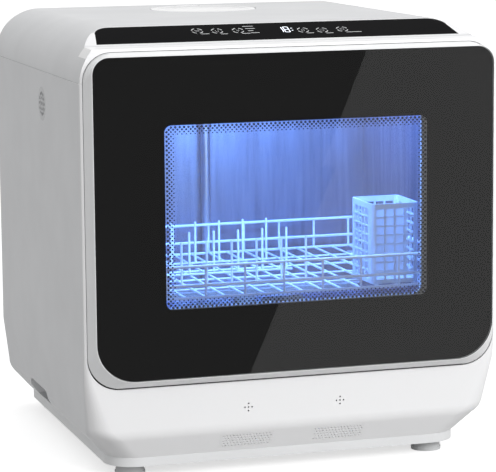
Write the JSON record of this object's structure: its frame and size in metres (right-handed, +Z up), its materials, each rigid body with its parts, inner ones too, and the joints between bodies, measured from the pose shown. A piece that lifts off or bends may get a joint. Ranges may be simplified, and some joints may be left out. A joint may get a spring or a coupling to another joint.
{
  "type": "countertop dishwasher",
  "caption": "Compact countertop dishwasher with a drop-down glass door, touch strip, sliding wire rack, cutlery basket, spray arms and a top-filled water tank.",
  "frame": {"origin": "on the standing surface, under the middle of the bounding box", "axes": "+X to the right seen from the front, +Y towards the rear panel, +Z up; the door faces -Y"},
  "size_m": [0.42, 0.432, 0.435],
  "materials": {
    "abs_side": "fine-grained moulded ABS",
    "abs_white": "glossy moulded ABS",
    "abs_grey": "moulded grey plastic",
    "strip_black": "glossy black",
    "circuit_board": "solder-masked board",
    "display_plastic": "dark display block",
    "rear_steel": "coated steel sheet",
    "rubber_dark": "black rubber",
    "rubber_grey": "grey sealing rubber",
    "screw_steel": "zinc-plated steel",
    "tub_steel": "satin stainless sheet",
    "tank_plastic": "translucent polypropylene",
    "pp_white": "moulded polypropylene",
    "pp_dark": "dark glass-filled plastic",
    "door_glass": "tempered glass",
    "print_black": "black ceramic print",
    "pane_glass": "clear tempered glass",
    "lamp_lens": "blue-lit lamp lens",
    "wire_coated": "white coated steel wire",
    "basket_plastic": "pale moulded basket",
    "impeller_plastic": "cream nylon",
    "filter_steel": "perforated stainless sheet",
    "heater_steel": "drawn steel tube"
  },
  "bodies": {
    "cabinet": {"body_shell": "abs_side", "top_cover": "abs_side", "rear_panel": "rear_steel", "base_pan": "abs_white", "feet": "rubber_dark", "cover_screws": "screw_steel", "belly_grilles": "abs_grey", "side_vents": "abs_grey", "grip_cups": "abs_side", "control_strip": "strip_black", "control_board": "circuit_board", "display_block": "display_plastic", "lid_hinge_pin": "screw_steel", "filler_dish": "pp_white", "water_tank": "tank_plastic", "tub": "tub_steel", "front_frame": "abs_white", "door_gasket": "rubber_grey", "cavity_lamp": "lamp_lens", "rack_rails": "pp_white", "sump": "pp_dark", "filter_plate": "filter_steel", "spray_hub": "pp_white", "upper_feed_pipe": "pp_white", "float_guide": "pp_white", "wash_pump": "pp_dark", "drain_pump": "pp_dark", "flow_heater": "heater_steel", "water_hoses": "rubber_grey", "blower_housing": "pp_dark", "inlet_valve": "pp_white", "drain_outlet": "pp_dark", "cord_gland": "rubber_dark", "hinge_brackets": "screw_steel", "hinge_pins": "screw_steel", "latch_body": "pp_dark"},
    "door": {"door_frame": "abs_white", "door_glass": "door_glass", "glass_print": "print_black", "door_liner": "abs_white", "window_seal": "rubber_grey", "inner_pane": "pane_glass", "hinge_arms": "screw_steel", "latch_tongue": "screw_steel", "dispenser_cup": "pp_white"},
    "flap": {"dispenser_flap": "abs_grey"},
    "rack": {"dish_rack": "wire_coated", "rack_floor": "wire_coated", "plate_tines": "wire_coated", "rack_shoes": "pp_white", "cutlery_basket": "basket_plastic"},
    "lower_arm": {"lower_spray_arm": "abs_grey"},
    "upper_arm": {"upper_spray_arm": "abs_grey"},
    "lid": {"water_lid": "abs_white"},
    "float": {"float_cup": "abs_grey"},
    "wash_rotor": {"pump_impeller": "impeller_plastic"},
    "drain_rotor": {"drain_impeller": "impeller_plastic"},
    "blower_rotor": {"blower_impeller": "impeller_plastic"},
    "filter": {"filter_cup": "pp_white"},
    "lever": {"latch_lever": "screw_steel"}
  },
  "joints": [
    {"name": "door_hinge", "type": "hinge", "parent": "cabinet", "child": "door", "pos_m": [0, -0.201, 0.112], "axis": [1, 0, 0], "range_deg": [0, 90]},
    {"name": "rack_slide", "type": "slide", "parent": "cabinet", "child": "rack", "axis": [0, -1, 0], "range_m": [0, 0.1226]},
    {"name": "flap_hinge", "type": "hinge", "parent": "door", "child": "flap", "pos_m": [0, -0.1843, 0.3595], "axis": [-1, 0, 0], "range_deg": [0, 100]},
    {"name": "lower_arm_spin", "type": "hinge", "parent": "cabinet", "child": "lower_arm", "pos_m": [0, -0.034, 0.152], "axis": [0, 0, 1], "continuous": true},
    {"name": "upper_arm_spin", "type": "hinge", "parent": "cabinet", "child": "upper_arm", "pos_m": [0, -0.034, 0.378], "axis": [0, 0, 1], "continuous": true},
    {"name": "lid_hinge", "type": "hinge", "parent": "cabinet", "child": "lid", "pos_m": [0, 0.162, 0.4326], "axis": [-1, 0, 0], "range_deg": [0, 95]},
    {"name": "float_lift", "type": "slide", "parent": "cabinet", "child": "float", "axis": [0, 0, 1], "range_m": [0, 0.006]},
    {"name": "wash_rotor_spin", "type": "hinge", "parent": "cabinet", "child": "wash_rotor", "pos_m": [-0.088, -0.034, 0.066], "axis": [1, 0, 0], "continuous": true},
    {"name": "drain_rotor_spin", "type": "hinge", "parent": "cabinet", "child": "drain_rotor", "pos_m": [0.12, 0.06, 0.055], "axis": [0, 0, 1], "continuous": true},
    {"name": "blower_spin", "type": "hinge", "parent": "cabinet", "child": "blower_rotor", "pos_m": [0.1, -0.014, 0.41], "axis": [0, 0, 1], "continuous": true},
    {"name": "filter_twist", "type": "hinge", "parent": "cabinet", "child": "filter", "pos_m": [0.042, -0.034, 0.13], "axis": [0, 0, 1], "range_deg": [0, 45]},
    {"name": "latch_lift", "type": "hinge", "parent": "cabinet", "child": "lever", "pos_m": [0, -0.166, 0.4098], "axis": [-1, 0, 0], "range_deg": [0, 8]}
  ],
  "couplings": [
    {"joint": "rack_slide", "follows": "door_hinge", "m_per_rad": 0.078}
  ]
}
